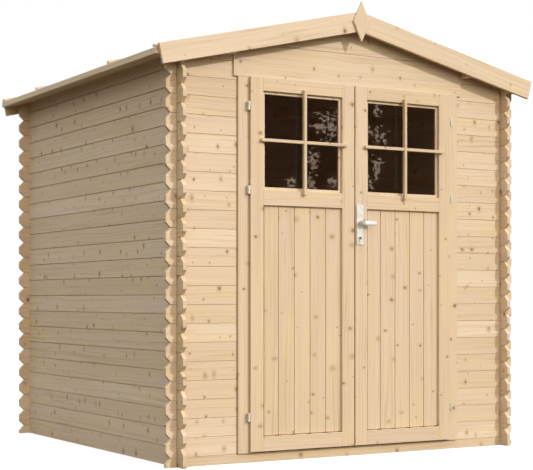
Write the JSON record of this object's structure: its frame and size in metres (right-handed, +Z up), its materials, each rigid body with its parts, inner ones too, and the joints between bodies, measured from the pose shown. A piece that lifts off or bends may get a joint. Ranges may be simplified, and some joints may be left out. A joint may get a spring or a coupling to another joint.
{
  "type": "wooden garden shed",
  "caption": "Small shed of interlocking horizontal boards with a low felted gable roof, barge boards and a glazed double door that swings outwards on lift-off hinges.",
  "frame": {"origin": "middle of the plan at ground level, on the underside of the middle floor bearer", "axes": "+Z up, the door faces -Y, +X to the right seen from the door side"},
  "size_m": [2.128, 2.03, 2.154],
  "materials": {
    "spruce": "planed, untreated",
    "glass": "clear, polished",
    "felt": "mineral roofing felt, matt",
    "hinge_steel": "zinc plated",
    "lock_metal": "satin, silver"
  },
  "bodies": {
    "shed": {"left_wall": "spruce", "right_wall": "spruce", "rear_wall": "spruce", "front_sill_board": "spruce", "front_wall_left": "spruce", "front_wall_right": "spruce", "front_gable": "spruce", "gable_board": "spruce", "door_header": "spruce", "left_jamb": "spruce", "right_jamb": "spruce", "floor_boards": "spruce", "floor_bearers": "spruce", "ridge_purlin": "spruce", "side_purlins": "spruce", "roof_left": "spruce", "roof_right": "spruce", "felt_left": "felt", "felt_right": "felt", "roof_battens": "spruce", "left_eave_board": "spruce", "right_eave_board": "spruce", "front_barge_left": "spruce", "front_barge_right": "spruce", "rear_barge_left": "spruce", "rear_barge_right": "spruce", "front_finial": "spruce", "rear_finial": "spruce", "frame_hinges": "hinge_steel"},
    "left_leaf": {"left_door_stiles": "spruce", "left_door_rails": "spruce", "left_door_panel": "spruce", "left_door_glass": "glass", "left_leaf_hinges": "hinge_steel"},
    "right_leaf": {"right_door_stiles": "spruce", "right_door_rails": "spruce", "right_door_panel": "spruce", "right_door_glass": "glass", "right_leaf_hinges": "hinge_steel", "lock_plates": "lock_metal", "lock_cylinder": "lock_metal"},
    "lever": {"outer_lever": "lock_metal", "inner_lever": "lock_metal"}
  },
  "joints": [
    {"name": "left_door_swing", "type": "hinge", "parent": "shed", "child": "left_leaf", "pos_m": [-0.5785, -0.953, 0.9], "axis": [0, 0, -1], "range_deg": [0, 110]},
    {"name": "right_door_swing", "type": "hinge", "parent": "shed", "child": "right_leaf", "pos_m": [0.5785, -0.953, 0.9], "axis": [0, 0, 1], "range_deg": [0, 110]},
    {"name": "lever_turn", "type": "hinge", "parent": "right_leaf", "child": "lever", "pos_m": [0.026, -0.98, 1.109], "axis": [0, 1, 0], "range_deg": [0, 40], "stiffness_Nm_per_rad": 0.5, "springref_deg": -28.65}
  ]
}
